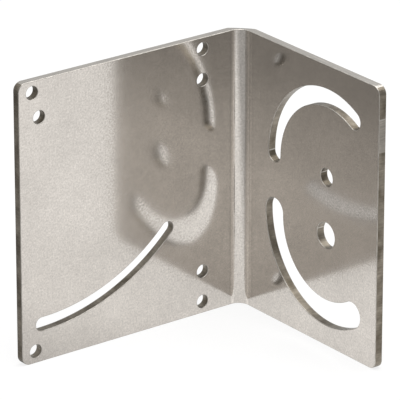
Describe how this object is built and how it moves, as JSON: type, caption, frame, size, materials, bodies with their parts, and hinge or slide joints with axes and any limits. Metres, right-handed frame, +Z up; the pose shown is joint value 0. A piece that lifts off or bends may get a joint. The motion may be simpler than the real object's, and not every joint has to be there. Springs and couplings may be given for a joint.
{
  "type": "motor mounting bracket",
  "caption": "Folded steel L-bracket with fixing holes and curved swing slots about pivot holes, for fastening a motor and setting its angle.",
  "frame": {"origin": "on the lower cut edge, where the two inner faces would meet if the fold had no radius", "axes": "+Z up along the fold, the long flange lies along -X, the short flange lies along -Y"},
  "size_m": [0.0945, 0.076, 0.1],
  "materials": {
    "bracket": "mill-finished stainless sheet with a soft sheen, cut edges darker"
  },
  "bodies": {
    "root": {"bracket": "bracket"}
  },
  "joints": []
}
